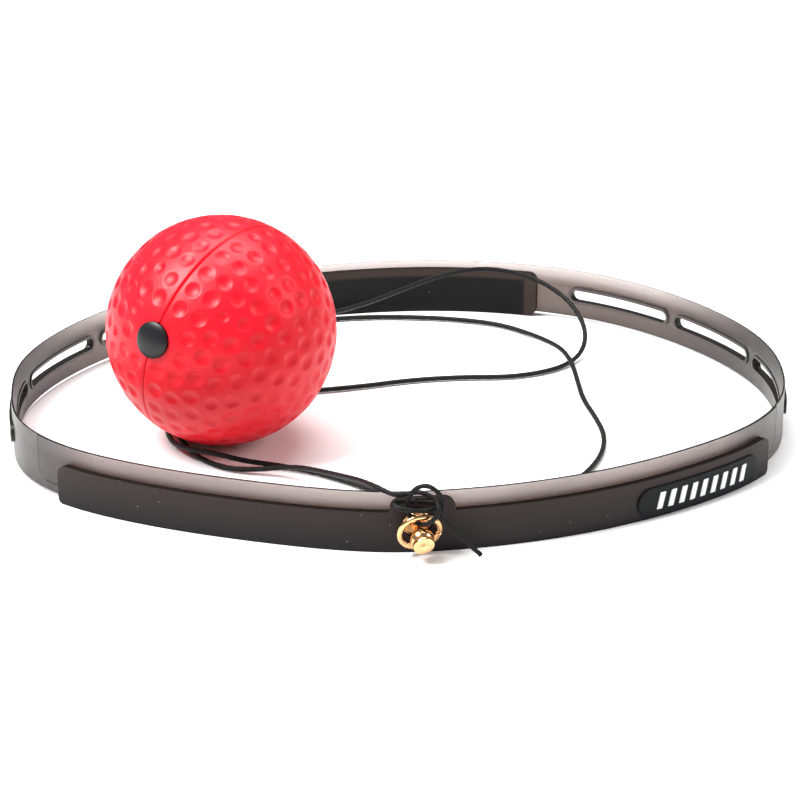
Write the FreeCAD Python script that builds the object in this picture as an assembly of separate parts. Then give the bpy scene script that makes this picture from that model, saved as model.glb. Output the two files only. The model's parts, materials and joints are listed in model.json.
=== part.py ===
import FreeCAD, Part
import math
import os

# Reflex ball headband: a soft loop worn round the head, with a foam ball on an elastic cord.
# Millimetres, +Z up. The loop stands on its lower edge, its front faces -Y, and the origin is
# the middle of the object's footprint on the floor, without the loose cord.

V = FreeCAD.Vector

# Driving dimensions: the headband loop
band_height = 14.4          # width of the strap, measured up its wall
band_wall = 1.2             # thickness of the strap
band_lift = 1.0             # the pads reach this far below the strap
lip_height = 4.0            # the strap thins towards its upper edge over this height
lip_edge = 0.5              # its thickness there
panel_left = 107.4          # ends of the thicker front panel, along the loop from the front
panel_right = 112.5
panel_step = 0.35           # how far that panel stands proud
panel_rise = 2.6            # the panel's lower edge, above the strap's
panel_corner = 3.5          # radius of the panel's lower corners

# Driving dimensions: slots and their raised rims
slot_length = 33.8
slot_height = 3.4
slot_rise = 6.7             # centre of a slot above the strap's lower edge
slot_rim = 0.9              # width of the rim
rim_outside = 0.8           # how far the rim stands proud outside
rim_inside = 0.3
slot_places = (148.6, 187.3, 225.3, -144.6, -183.1, -221.6)

# Driving dimensions: pads, plates and bars
pad_left = 97.6             # ends of the front pad, along the loop from the front
pad_right = 103.7
pad_thick = 1.8
pad_height = 10.8
tab_half = 8.0
tab_height = 14.4
tab_corner = 3.0
pad_corner = 1.5
rear_half = 47.7
rear_thick = 2.2
rear_height = 13.6
rear_corner = 2.5
badge_place = 77.1
badge_length = 42.4
badge_height = 7.6
badge_rise = 0.9
badge_thick = 0.5
bar_count = 9
bar_pitch = 3.5
bar_width = 1.7
bar_height = 4.4
bar_slant = 1.1
bar_thick = 0.3
rear_plate_half = 43.0
rear_plate_rise = 0.6
rear_plate_height = 9.7
rear_plate_thick = 0.8

# Driving dimensions: the stud, which droops and points a little to one side
stud_side = -1.57
stud_rise = 8.05
stud_droop = 21.0
stud_yaw = 10.0
flange_radius = 3.85
flange_sunk = 0.15
flange_thick = 0.8
shank_radius = 1.3
shank_depth = 1.8
neck_radius = 1.6
head_radius = 3.0
head_reach = 5.85           # centre of the round head, along the stud from the pad's face
disc_radius = 2.7
disc_reach = 8.4
dimple_radius = 0.35
screw_radius = 0.8
screw_reach = 2.4
screw_head_radius = 2.6
screw_head_thick = 1.0
washer_radius = 3.6
washer_thick = 0.6
washer_stand_off = 0.2

# Driving dimensions: the tether ring
ring_mean_radius = 5.05
ring_wire_radius = 0.75
ring_reach = 3.2
ring_split = 0.3

# Driving dimensions: the ball and what is inside it
ball_radius = 31.0
ball_x = -48.3
ball_y = -7.5
bore_direction = V(0.564, 0.796, -0.220)   # from the cap to the cord's exit
seam_lean = 16.5            # turn of the moulding seam about the bore
seam_radius = 0.35
bore_radius = 2.4
cap_radius = 4.8
cap_proud = 1.3
cap_sunk = 1.0
cap_stem = 8.0
sleeve_start = -15.0
sleeve_end = 27.0
sleeve_inner = 1.7
eyelet_radius = 3.6
eyelet_thick = 1.0
eyelet_proud = 0.4
eyelet_collar = 4.0
stop_washer_thick = 1.0
stop_knot_radius = 1.6
cord_radius = 0.7
knot_radius = 0.62          # the cord is stretched thinner where it is knotted

# Clearances
running = 0.06              # between parts that turn in one another
seat = 0.05                 # between parts that are pressed together
end_float = 0.1

# Neutral line of the loop at rest, seen from above, starting at the front centre
LOOP = [
    (1.0, -81.1), (39.6, -73.4), (75.0, -54.9), (89.7, -42.3), (100.1, -25.5), (104.4, -4.6),
    (103.8, 13.8), (88.4, 50.5), (59.7, 78.4), (21.8, 90.9), (-20.9, 88.1), (-58.1, 73.0),
    (-87.7, 46.0), (-104.0, 9.6), (-104.4, -10.6), (-101.0, -29.5), (-90.1, -45.7),
    (-74.1, -57.6), (-37.7, -73.7),
]

# The cord's lead, which rises with the ball: 14 mm straight out of its exit, then to the floor
lead_straight = 14.0
LEAD = [
    (-13.8, 40.6, 18.4), (-5.2, 52.0, 16.8), (3.7, 62.8, 16.2),
    (14.3, 73.0, 16.5), (27.0, 80.0, 16.8), (38.3, 79.2, 15.9), (48.2, 74.0, 13.6),
    (55.4, 66.7, 9.6), (58.4, 57.6, 5.4), (57.1, 48.4, 2.4), (52.3, 40.0, 1.0),
]
LEAD_END = (48.3, 36.7, 1.0)

# The rest of the cord, round on the floor and over the front edge to the stud
strap_rise = band_height - 14.4     # the cord was laid over a strap of that height
CORD = [
    (44.3, 33.4, 1.0), (33.1, 29.8, 1.0), (19.1, 30.6, 1.0), (4.7, 29.0, 1.0),
    (-9.1, 25.0, 1.0), (-23.1, 22.3, 1.0), (-38.1, 21.8, 1.0), (-51.9, 20.6, 1.0),
    (-62.4, 15.2, 1.0), (-64.2, 4.9, 1.0), (-63.8, -6.6, 1.0), (-61.8, -16.6, 2.0),
    (-57.6, -25.5, 4.2), (-49.9, -29.4, 4.2), (-42.9, -29.6, 2.2), (-36.1, -29.6, 1.0),
    (-29.3, -32.5, 1.0), (-22.1, -37.0, 1.0), (-14.5, -43.5, 1.0), (-6.7, -50.6, 1.0),
    (1.7, -59.0, 1.0), (12.7, -64.6, 1.0), (25.3, -62.2, 1.0), (37.1, -53.0, 1.0),
    (46.3, -41.4, 1.0), (52.5, -28.4, 1.0), (55.1, -15.0, 1.0), (54.1, -1.4, 1.0),
    (52.1, 11.0, 1.3), (51.9, 22.0, 2.5), (51.4, 32.0, 4.2), (50.0, 42.4, 4.2),
    (47.5, 53.2, 2.5), (42.9, 64.4, 1.0), (34.5, 73.2, 1.0), (22.7, 78.2, 1.0),
    (9.7, 80.9, 1.0), (-4.7, 82.0, 1.0), (-19.1, 80.4, 1.0), (-32.5, 74.6, 1.0),
    (-43.3, 65.2, 1.0), (-51.1, 52.8, 1.0), (-55.7, 39.6, 2.2), (-57.9, 27.6, 4.2),
    (-59.5, 15.6, 4.2), (-61.5, 5.0, 2.2), (-61.3, -5.0, 1.0), (-59.3, -13.8, 1.0),
    (-56.3, -21.4, 1.0), (-51.9, -28.0, 1.0), (-45.9, -32.4, 1.0), (-39.1, -34.4, 1.7),
    (-33.1, -36.8, 3.2), (-28.3, -41.2, 5.0), (-23.5, -49.8, 7.6), (-18.8, -60.2, 10.8),
    (-14.4, -71.2, 14.3 + strap_rise),
    (-10.8, -82.0, 17.3 + strap_rise),
]

HITCH_START = (-8.45, -83.95, 16.8 + strap_rise)

# The hitch: behind the bight, down in front, through the ring, up and over as the bight
HITCH = [
    (-6.1, -85.9, 16.3), (-3.4, -85.1, 16.2), (-0.5, -85.3, 17.0), (2.1, -86.3, 16.6),
    (4.1, -88.1, 15.7), (4.7, -90.0, 14.5), (4.1, -90.8, 12.7), (2.7, -90.2, 11.05),
    (1.3, -89.65, 9.85), (-0.55, -87.8, 9.5), (-2.2, -86.5, 10.7), (-3.2, -86.9, 12.9),
    (-2.9, -86.8, 15.6), (-1.6, -87.2, 18.1), (0.3, -87.8, 19.6), (2.4, -88.4, 19.7),
    (4.4, -88.9, 18.3), (5.6, -88.9, 15.9), (5.7, -88.6, 13.4), (5.0, -88.6, 11.0),
]
HITCH_END = (6.6, -88.7, 9.45)
TAIL_END = (15.0, -89.1, 1.25)

# One more turn of the cord round both legs of the bight
WRAP_START = (-0.9, -84.65, 13.9)
WRAP = [
    (-5.1, -84.7, 14.2), (-6.7, -86.8, 14.3), (-4.9, -88.8, 13.9), (-0.5, -89.1, 13.4),
    (3.1, -89.0, 13.5), (5.1, -86.9, 13.6), (3.5, -84.7, 13.7),
]
WRAP_END = (-0.3, -84.65, 13.85)

samples = 720


def closed_curve(points):
    curve = Part.BSplineCurve()
    curve.interpolate(Points=[V(x, y, 0) for x, y in points], PeriodicFlag=True)
    return curve


def walk_round(curve):
    """List (distance, point, outward normal) round the loop from the front centre towards +X."""
    first, last = curve.FirstParameter, curve.LastParameter
    steps = []
    distance = 0.0
    before = None
    for i in range(samples + 1):
        u = first + (last - first) * i / samples
        point = curve.value(u)
        along = curve.tangent(u)[0]
        if before is not None:
            distance += point.distanceToPoint(before)
        steps.append((distance, point, V(along.y, -along.x, 0)))
        before = point
    return steps


loop_steps = walk_round(closed_curve(LOOP))
loop_length = loop_steps[-1][0]
half_loop = loop_length / 2
band_top = band_lift + band_height
half_wall = band_wall / 2
front_face = half_wall + panel_step
pad_face = front_face + pad_thick


def station(s):
    """Point on the neutral line, direction along it and outward normal, s from the front."""
    s = s % loop_length
    low, high = 0, samples
    while high - low > 1:
        middle = (low + high) // 2
        if loop_steps[middle][0] <= s:
            low = middle
        else:
            high = middle
    d0, p0, n0 = loop_steps[low]
    d1, p1, n1 = loop_steps[high]
    f = (s - d0) / (d1 - d0)
    normal = n0 * (1 - f) + n1 * f
    normal.normalize()
    return p0 * (1 - f) + p1 * f, V(-normal.y, normal.x, 0), normal


def spot(s, offset, z):
    point, along, normal = station(s)
    return point + normal * offset + V(0, 0, z)


def along_curve(s0, s1, offset, z):
    count = max(4, int((s1 - s0) / 6))
    points = [spot(s0 + (s1 - s0) * i / count, offset, z) for i in range(count + 1)]
    curve = Part.BSplineCurve()
    curve.interpolate(points)
    return curve.toShape(), points[0], points[-1]


def strip_outline(s0, s1, near, far, z):
    inner, a, b = along_curve(s0, s1, near, z)
    outer, c, d = along_curve(s0, s1, far, z)
    return Part.Wire([inner, Part.makeLine(b, d), outer, Part.makeLine(c, a)])


def strip(s0, s1, near, far, z0, z1):
    """A strip that follows the loop from s0 to s1, between two offsets and two heights."""
    return Part.Face(strip_outline(s0, s1, near, far, z0)).extrude(V(0, 0, z1 - z0))


def loop_wire(offset, z):
    points = [spot(loop_length * i / 90, offset, z) for i in range(90)]
    curve = Part.BSplineCurve()
    curve.interpolate(Points=points, PeriodicFlag=True)
    return Part.Wire(curve.toShape())


def ring_wall():
    """The plain strap: its inner face leans outwards near the upper edge, which thins it."""
    lip_start = band_top - lip_height
    outer = Part.Face(loop_wire(half_wall, band_lift)).extrude(V(0, 0, band_height))
    inner = Part.Face(loop_wire(-half_wall, band_lift - 1)).extrude(V(0, 0, band_height + 2))
    wires = [loop_wire(-half_wall, lip_start), loop_wire(half_wall - lip_edge, band_top)]
    lean = Part.makeLoft(wires, True, True)
    return outer.cut(inner).cut(lean)


def prism(s, z, outline, near, far):
    """Extrude an outline, drawn along and up from the point (s, z), through the wall."""
    point, along, normal = station(s)
    frame = FreeCAD.Matrix(
        along.x, 0, normal.x, point.x,
        along.y, 0, normal.y, point.y,
        0, 1, 0, z,
        0, 0, 0, 1,
    )
    face = Part.Face(Part.Wire(outline))
    face.translate(V(0, 0, near))
    solid = face.extrude(V(0, 0, far - near))
    solid.Placement = FreeCAD.Placement(frame)
    return solid


def stadium(length, height):
    """Edges of a slot shape with round ends."""
    r = height / 2
    a = length / 2 - r
    return [
        Part.makeLine(V(-a, -r, 0), V(a, -r, 0)),
        Part.Arc(V(a, -r, 0), V(a + r, 0, 0), V(a, r, 0)).toShape(),
        Part.makeLine(V(a, r, 0), V(-a, r, 0)),
        Part.Arc(V(-a, r, 0), V(-a - r, 0, 0), V(-a, -r, 0)).toShape(),
    ]


def corner_spare(s, z, side, up, radius, near, far):
    """The spare material outside a rounded corner: side and up point into the piece."""
    diagonal = radius * (1 - math.sqrt(0.5))
    over = 2.0
    outline = [
        Part.makeLine(V(side * radius, 0, 0), V(side * radius, -up * over, 0)),
        Part.makeLine(V(side * radius, -up * over, 0), V(-side * over, -up * over, 0)),
        Part.makeLine(V(-side * over, -up * over, 0), V(-side * over, up * radius, 0)),
        Part.makeLine(V(-side * over, up * radius, 0), V(0, up * radius, 0)),
        Part.Arc(
            V(0, up * radius, 0), V(side * diagonal, up * diagonal, 0), V(side * radius, 0, 0)
        ).toShape(),
    ]
    return prism(s, z, outline, near, far)


def rounded(solid, ends, levels, near, far):
    """Round the corners of a strip: ends are (s, side), levels are (z, up, radius)."""
    for s, side in ends:
        for z, up, radius in levels:
            solid = solid.cut(corner_spare(s, z, side, up, radius, near, far))
    return solid


def tube(points, start, end, radius, tightest=0.45):
    """Sweep a round section along straight runs joined by tangent arcs; report the radii."""
    route = [V(*start)] + [V(*p) for p in points] + [V(*end)]
    edges = []
    radii = []
    before = route[0]
    for a, b, c in zip(route, route[1:], route[2:]):
        run_in = b - a
        run_out = c - b
        turn = run_in.getAngle(run_out)
        reach = tightest * min(run_in.Length, run_out.Length)
        bend = reach / math.tan(turn / 2)
        radii.append(round(bend, 1))
        run_in.normalize()
        run_out.normalize()
        enter = b - run_in * reach
        leave = b + run_out * reach
        inward = run_out - run_in
        inward.normalize()
        middle = b + inward * (bend / math.cos(turn / 2) - bend)
        edges.append(Part.LineSegment(before, enter).toShape())
        edges.append(Part.Arc(enter, middle, leave).toShape())
        before = leave
    edges.append(Part.LineSegment(before, route[-1]).toShape())
    path = Part.Wire(edges)
    section = Part.Wire(Part.makeCircle(radius, route[0], route[1] - route[0]))
    solid = path.makePipeShell([section], True, False)
    ratio = solid.Volume / (math.pi * radius**2 * path.Length)
    print("cord length %.1f, volume ratio %.3f, radii" % (path.Length, ratio), radii)
    return solid


# Headband pieces

def headband_loop():
    wall = ring_wall()
    overlap = half_wall - 0.2
    panel_foot = band_lift + panel_rise
    panel = strip(-panel_left, panel_right, overlap, front_face, panel_foot, band_top)
    ends = ((-panel_left, 1), (panel_right, -1))
    panel = rounded(panel, ends, [(panel_foot, 1, panel_corner)], 0, pad_face)
    band = wall.fuse(panel)
    rise = band_lift + slot_rise
    rim_far = half_wall + rim_outside
    rim_near = -half_wall - rim_inside
    half = slot_length / 2 + slot_rim
    for s in slot_places:
        ground = strip(s - half - 2, s + half + 2, rim_near, rim_far, band_lift, band_top)
        outline = stadium(slot_length + 2 * slot_rim, slot_height + 2 * slot_rim)
        band = band.fuse(ground.common(prism(s, rise, outline, -8, 8)))
    for s in slot_places:
        band = band.cut(prism(s, rise, stadium(slot_length, slot_height), -8, 8))
    return band.cut(stud_hole()).cut(washer_pocket())


def front_pad():
    body = strip(-pad_left, pad_right, front_face, pad_face, 0, pad_height)
    ends = ((-pad_left, 1), (pad_right, -1))
    levels = [(0, 1, pad_corner), (pad_height, -1, tab_corner)]
    body = rounded(body, ends, levels, 0, pad_face + 1)
    tab = strip(-tab_half, tab_half, front_face, pad_face, pad_height - 1, tab_height)
    tab_ends = ((-tab_half, 1), (tab_half, -1))
    tab = rounded(tab, tab_ends, [(tab_height, -1, tab_corner)], 0, pad_face + 1)
    start, end = pad_corner - pad_left, pad_right - pad_corner
    lip = strip(start, end, -half_wall, front_face + 0.1, 0, band_lift)
    skirt_top = band_lift + panel_rise
    skirt = strip(start, end, half_wall, front_face + 0.1, 0, skirt_top)
    return body.fuse([tab, lip, skirt]).cut(stud_hole()).cut(flange_pocket())


def front_badge():
    face = pad_face + badge_thick
    reach = badge_length / 2 + 1
    ground = strip(badge_place - reach, badge_place + reach, pad_face, face, 0, pad_height)
    rise = badge_rise + badge_height / 2
    return ground.common(prism(badge_place, rise, stadium(badge_length, badge_height), -9, 12))


def badge_bars():
    near = pad_face + badge_thick
    reach = badge_length / 2
    far = near + bar_thick
    ground = strip(badge_place - reach, badge_place + reach, near, far, 0, pad_height)
    w, h, lean = bar_width / 2, bar_height / 2, bar_slant / 2
    corners = [(-w - lean, -h), (w - lean, -h), (w + lean, h), (-w + lean, h)]
    rise = badge_rise + badge_height / 2
    bars = []
    for i in range(bar_count):
        s = badge_place + (i - (bar_count - 1) / 2) * bar_pitch
        outline = [V(x, y, 0) for x, y in corners + corners[:1]]
        edges = [Part.makeLine(a, b) for a, b in zip(outline, outline[1:])]
        bars.append(ground.common(prism(s, rise, edges, -9, 12)))
    return Part.makeCompound([solid for bar in bars for solid in bar.Solids])


def rear_pad():
    near = -half_wall - rear_thick
    s0, s1 = half_loop - rear_half, half_loop + rear_half
    body = strip(s0, s1, near, -half_wall, 0, rear_height)
    levels = [(0, 1, rear_corner), (rear_height, -1, rear_corner)]
    body = rounded(body, ((s0, 1), (s1, -1)), levels, near - 1, 0)
    inset = rear_corner
    lip = strip(s0 + inset, s1 - inset, -half_wall - 0.1, half_wall, 0, band_lift)
    lip_start = band_top - lip_height
    fill_top = rear_height - 0.3
    lean = (band_wall - lip_edge) * (fill_top - lip_start) / lip_height
    far = lean - half_wall - seat
    foot = strip_outline(s0 + inset, s1 - inset, -half_wall - 0.2, -half_wall - 0.1, lip_start)
    head = strip_outline(s0 + inset, s1 - inset, -half_wall - 0.2, far, fill_top)
    backing = Part.makeLoft([foot, head], True, True)
    return body.fuse([lip, backing])


def rear_plate():
    s0, s1 = half_loop - rear_plate_half, half_loop + rear_plate_half
    z0 = band_lift + rear_plate_rise
    z1 = z0 + rear_plate_height
    far = half_wall + rear_plate_thick
    body = strip(s0, s1, half_wall, far, z0, z1)
    return rounded(body, ((s0, 1), (s1, -1)), [(z0, 1, 1.5), (z1, -1, 1.5)], 0, far + 1)


# The stud: every piece lies on one axis, measured outwards from the pad's face

def stud_axis():
    yaw, droop = math.radians(stud_yaw), math.radians(stud_droop)
    return V(math.sin(yaw) * math.cos(droop), -math.cos(yaw) * math.cos(droop), -math.sin(droop))


def stud_origin():
    return spot(stud_side, pad_face, stud_rise)


def on_stud(reach):
    return stud_origin() + stud_axis() * reach


def stud_bar(radius, start, end):
    return Part.makeCylinder(radius, end - start, on_stud(start), stud_axis())


def screw_plane():
    """Where the inner washer's face lies along the stud, inside the loop."""
    depth = pad_face + half_wall
    inward = V(0, 0, 0) - stud_axis()
    straight = V(0, 0, 0) - station(stud_side)[2]
    return -(depth / inward.dot(straight) + washer_stand_off)


def stud_hole():
    return stud_bar(shank_radius + seat, screw_plane() - 3, 4)


def flange_pocket():
    return stud_bar(flange_radius + seat, -flange_sunk, 6)


def washer_pocket():
    plane = screw_plane()
    return stud_bar(washer_radius + seat, plane - 4, plane)


def stud_flange():
    top = flange_thick - flange_sunk
    plate = stud_bar(flange_radius, -flange_sunk, top)
    edges = [e for e in plate.Edges if e.Curve.TypeId == "Part::GeomCircle"]
    outer = max(edges, key=lambda e: (e.CenterOfMass - stud_origin()).dot(stud_axis()))
    return plate.makeFillet(0.35, [outer]).cut(stud_bar(shank_radius + seat, -2, 4))


def stud_head():
    top = flange_thick - flange_sunk
    shank = stud_bar(shank_radius, -shank_depth, top + 0.5)
    neck = stud_bar(neck_radius, top, head_reach)
    head = Part.makeSphere(head_radius, on_stud(head_reach))
    disc = stud_bar(disc_radius, head_reach, disc_reach)
    body = shank.fuse([neck, head, disc])
    body = body.cut(Part.makeSphere(dimple_radius, on_stud(disc_reach)))
    return body.cut(stud_bar(screw_radius + 0.02, -shank_depth - 1, screw_reach + 0.2))


def stud_screw():
    under_head = screw_plane() - washer_thick
    head = stud_bar(screw_head_radius, under_head - screw_head_thick, under_head)
    slot = Part.makeBox(2 * screw_head_radius + 1, 0.6, 1.0)
    slot.translate(V(-screw_head_radius - 0.5, -0.3, -0.5))
    turn = FreeCAD.Rotation(V(0, 0, 1), stud_axis())
    slot.Placement = FreeCAD.Placement(on_stud(under_head - screw_head_thick), turn).multiply(
        slot.Placement
    )
    return head.fuse(stud_bar(screw_radius, under_head - 0.2, screw_reach)).cut(slot)


def stud_washer():
    plane = screw_plane()
    plate = stud_bar(washer_radius, plane - washer_thick, plane)
    return plate.cut(stud_bar(screw_radius + seat, plane - 3, plane + 2))


def tether_ring():
    ring = Part.makeTorus(ring_mean_radius, ring_wire_radius, on_stud(ring_reach), stud_axis())
    size = 2 * ring_wire_radius + 1
    gap = Part.makeBox(size, ring_split, size)
    gap.translate(V(ring_mean_radius - size / 2, -ring_split / 2, -size / 2))
    turn = FreeCAD.Rotation(V(0, 0, 1), stud_axis())
    gap.Placement = FreeCAD.Placement(on_stud(ring_reach), turn).multiply(gap.Placement)
    return ring.cut(gap)


# The ball: every piece lies on the bore's axis, measured from the ball's centre

bore = V(bore_direction)
bore.normalize()
ball_centre = V(ball_x, ball_y, ball_radius)


def on_bore(reach):
    return ball_centre + bore * reach


def bore_bar(radius, start, end):
    return Part.makeCylinder(radius, end - start, on_bore(start), bore)


def cap_dome():
    """A shallow dome over the bore's closed end."""
    rim = -(ball_radius - cap_sunk)
    base = math.sqrt(ball_radius**2 - cap_radius**2)
    height = ball_radius + cap_proud - base
    sphere_radius = (cap_radius**2 + height**2) / (2 * height)
    dome = Part.makeSphere(sphere_radius, on_bore(-base - height + sphere_radius))
    return dome.common(bore_bar(cap_radius, -(ball_radius + cap_proud + 1), rim))


def end_cap():
    rim = -(ball_radius - cap_sunk)
    stem = bore_bar(bore_radius - seat, rim - 0.2, rim + cap_stem)
    return cap_dome().fuse(stem)


def ball_foam():
    ball = Part.makeSphere(ball_radius, ball_centre)
    ball = ball.cut(bore_bar(bore_radius, -40, 40))
    ball = ball.cut(bore_bar(cap_radius + seat, -40, -(ball_radius - cap_sunk)))
    eyelet_seat = ball_radius + eyelet_proud - eyelet_thick
    ball = ball.cut(bore_bar(eyelet_radius + seat, eyelet_seat, 40))
    side = bore.cross(V(0, 0, 1))
    side.normalize()
    lean = FreeCAD.Rotation(bore, seam_lean)
    seam = Part.makeTorus(ball_radius, seam_radius, ball_centre, lean.multVec(side))
    return ball.cut(seam)


def bore_sleeve():
    sleeve = bore_bar(bore_radius - seat, sleeve_start, sleeve_end)
    return sleeve.cut(bore_bar(sleeve_inner, sleeve_start - 1, sleeve_end + 1))


def exit_eyelet():
    face = ball_radius + eyelet_proud
    plate = bore_bar(eyelet_radius, face - eyelet_thick, face)
    collar = bore_bar(bore_radius - seat, sleeve_end, face - eyelet_thick + 0.1)
    return plate.fuse(collar).cut(bore_bar(cord_radius + running, sleeve_end - 1, face + 1))


# The cord's end inside the ball, which the ball turns on

cord_exit = ball_radius + eyelet_proud + 0.6


def inner_cord():
    return bore_bar(cord_radius, sleeve_start - end_float - stop_washer_thick, cord_exit)


def stop_washer():
    end = sleeve_start - end_float
    plate = bore_bar(bore_radius - running, end - stop_washer_thick, end)
    return plate.cut(bore_bar(cord_radius, end - 3, end + 1))


def stop_knot():
    end = sleeve_start - end_float - stop_washer_thick
    ball = Part.makeSphere(stop_knot_radius, on_bore(end - stop_knot_radius + 0.2))
    return ball.cut(bore_bar(3, end, end + 5))


# The cord outside the ball

def cord_lead():
    start, straight = [tuple(on_bore(cord_exit + reach)) for reach in (0, lead_straight)]
    return tube([straight] + LEAD, start, LEAD_END, cord_radius)


def tether_cord():
    return tube(CORD, LEAD_END, HITCH_START, cord_radius)


def hitch_bight():
    return tube(HITCH, HITCH_START, HITCH_END, knot_radius)


def hitch_wrap():
    return tube(WRAP, WRAP_START, WRAP_END, knot_radius)


def cord_tail():
    run = V(*TAIL_END) - V(*HITCH_END)
    return Part.makeCylinder(knot_radius, run.Length, V(*HITCH_END), run)


def main():
    os.makedirs("parts", exist_ok=True)
    pieces = [
        headband_loop, front_pad, front_badge, badge_bars, rear_pad, rear_plate,
        stud_flange, stud_head, stud_screw, stud_washer, tether_ring,
        ball_foam, end_cap, bore_sleeve, exit_eyelet,
        inner_cord, stop_washer, stop_knot,
        cord_lead, tether_cord, hitch_bight, hitch_wrap, cord_tail,
    ]
    cords = ("cord_lead", "tether_cord", "hitch_bight", "hitch_wrap", "cord_tail")
    shapes = {make.__name__: make() for make in pieces}
    footprint = FreeCAD.BoundBox()
    for name, shape in shapes.items():
        if name not in cords:
            footprint.add(shape.optimalBoundingBox(False))
    middle = footprint.Center
    print("middle of the footprint", round(middle.x, 3), round(middle.y, 3), footprint)
    for name, shape in shapes.items():
        shape.translate(V(-middle.x, -middle.y, 0))
        print("%-14s valid %s solids %d volume %.1f"
              % (name, shape.isValid(), len(shape.Solids), shape.Volume))
        shape.exportStep("parts/%s.step" % name)


main()
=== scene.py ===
"""Looks of the reflex ball headband: a smoky moulded loop, a dimpled foam ball and its cord.

Shapes are worked out in millimetres with numpy and written in metres, in the frame of the
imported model: +Z up, the loop's front facing -Y, the floor at zero height.
"""
import json
import math

import bpy
import numpy as np
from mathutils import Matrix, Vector


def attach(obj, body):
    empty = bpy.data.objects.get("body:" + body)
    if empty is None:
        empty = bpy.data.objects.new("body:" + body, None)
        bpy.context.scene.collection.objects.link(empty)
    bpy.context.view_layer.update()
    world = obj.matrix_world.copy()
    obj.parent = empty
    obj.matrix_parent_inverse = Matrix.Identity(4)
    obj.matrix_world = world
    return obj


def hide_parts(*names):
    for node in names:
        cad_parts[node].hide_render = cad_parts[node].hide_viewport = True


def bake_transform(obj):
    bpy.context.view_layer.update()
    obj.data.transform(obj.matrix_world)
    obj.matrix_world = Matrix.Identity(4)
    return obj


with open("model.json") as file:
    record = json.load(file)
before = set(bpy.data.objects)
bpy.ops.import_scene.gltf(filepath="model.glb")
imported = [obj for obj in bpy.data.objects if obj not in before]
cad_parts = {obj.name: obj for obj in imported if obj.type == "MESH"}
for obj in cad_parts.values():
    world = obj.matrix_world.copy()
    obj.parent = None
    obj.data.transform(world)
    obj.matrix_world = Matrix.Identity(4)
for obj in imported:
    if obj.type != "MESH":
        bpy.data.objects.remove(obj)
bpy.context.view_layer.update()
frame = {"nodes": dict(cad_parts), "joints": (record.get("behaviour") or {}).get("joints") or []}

MM = 0.001
JOINTS = {joint["name"]: joint for joint in frame["joints"]}
scene = bpy.context.scene


def unit(v):
    v = np.asarray(v, float)
    return v / np.linalg.norm(v, axis=-1, keepdims=True)


# Camera

CAMERA_PLACE = (-0.0378, -0.6781, 0.2810)
CAMERA_TARGET = (0.00105, 0.01623, 0.0)
LENS_MM = 119.76


def add_camera():
    data = bpy.data.cameras.new("camera")
    data.lens = LENS_MM
    data.sensor_width = 36.0
    data.dof.use_dof = False
    camera = bpy.data.objects.new("camera", data)
    scene.collection.objects.link(camera)
    look = Vector(CAMERA_TARGET) - Vector(CAMERA_PLACE)
    camera.location = CAMERA_PLACE
    camera.rotation_euler = look.to_track_quat("-Z", "Y").to_euler()
    scene.camera = camera


add_camera()


# Surfaces

def surface(name, grid, body, stretch=(1.0, 1.0), attributes=None):
    """Write a grid of points in millimetres as a closed, smooth mesh.

    Neighbouring grid points share a face. Rows that meet, at seams and poles, are merged, and
    the map runs along the grid's two directions, times stretch.
    """
    rows, columns = grid.shape[:2]
    index = np.arange(rows * columns).reshape(rows, columns)
    corners = (index[:-1, :-1], index[1:, :-1], index[1:, 1:], index[:-1, 1:])
    faces = np.stack(corners, axis=-1).reshape(-1, 4)
    mesh = bpy.data.meshes.new(name)
    mesh.from_pydata(grid.reshape(-1, 3) * MM, [], faces)
    u, v = np.meshgrid(np.linspace(0, stretch[0], rows), np.linspace(0, stretch[1], columns),
                       indexing="ij")
    both = np.stack((u.ravel(), v.ravel()), axis=-1)
    mesh.uv_layers.new(name="map").data.foreach_set("uv", both[faces.ravel()].ravel())
    for key, values in (attributes or {}).items():
        layer = mesh.attributes.new(key, "FLOAT", "POINT")
        layer.data.foreach_set("value", np.asarray(values, np.float32).ravel())
    return weld_and_place(name, mesh, body)


def weld_and_place(name, mesh, body):
    """Merge points that meet, turn every face outwards and let the piece ride on its body."""
    import bmesh
    work = bmesh.new()
    work.from_mesh(mesh)
    bmesh.ops.remove_doubles(work, verts=work.verts, dist=2e-6)
    bmesh.ops.recalc_face_normals(work, faces=work.faces)
    work.to_mesh(mesh)
    work.free()
    mesh.shade_smooth()
    mesh.set_sharp_from_angle(angle=math.radians(50))
    piece = bpy.data.objects.new(name, mesh)
    scene.collection.objects.link(piece)
    if body:
        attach(piece, body)
    return piece


def turned(name, profile, centre, axis, body, sides=64):
    """Turn a profile of (along, radius) points about an axis through centre."""
    profile = np.asarray(profile, float)
    axis = unit(axis)
    side = unit(np.cross(axis, (0.3, 0.2, 1.0)))
    up = np.cross(axis, side)
    a = np.linspace(0, 2 * math.pi, sides + 1)[None, :, None]
    along, radius = profile[:, 0][:, None, None], profile[:, 1][:, None, None]
    grid = centre + along * axis + radius * (np.cos(a) * side + np.sin(a) * up)
    return surface(name, grid, body)


def rounded_corner(corner, radius, start, end, steps=5):
    """Points of a quarter round at a corner of a profile, from angle start to end in degrees."""
    a = np.radians(np.linspace(start, end, steps))
    return [(corner[0] + radius * math.cos(t), corner[1] + radius * math.sin(t)) for t in a]


# The cord. These route points are the model's own, in millimetres.

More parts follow.
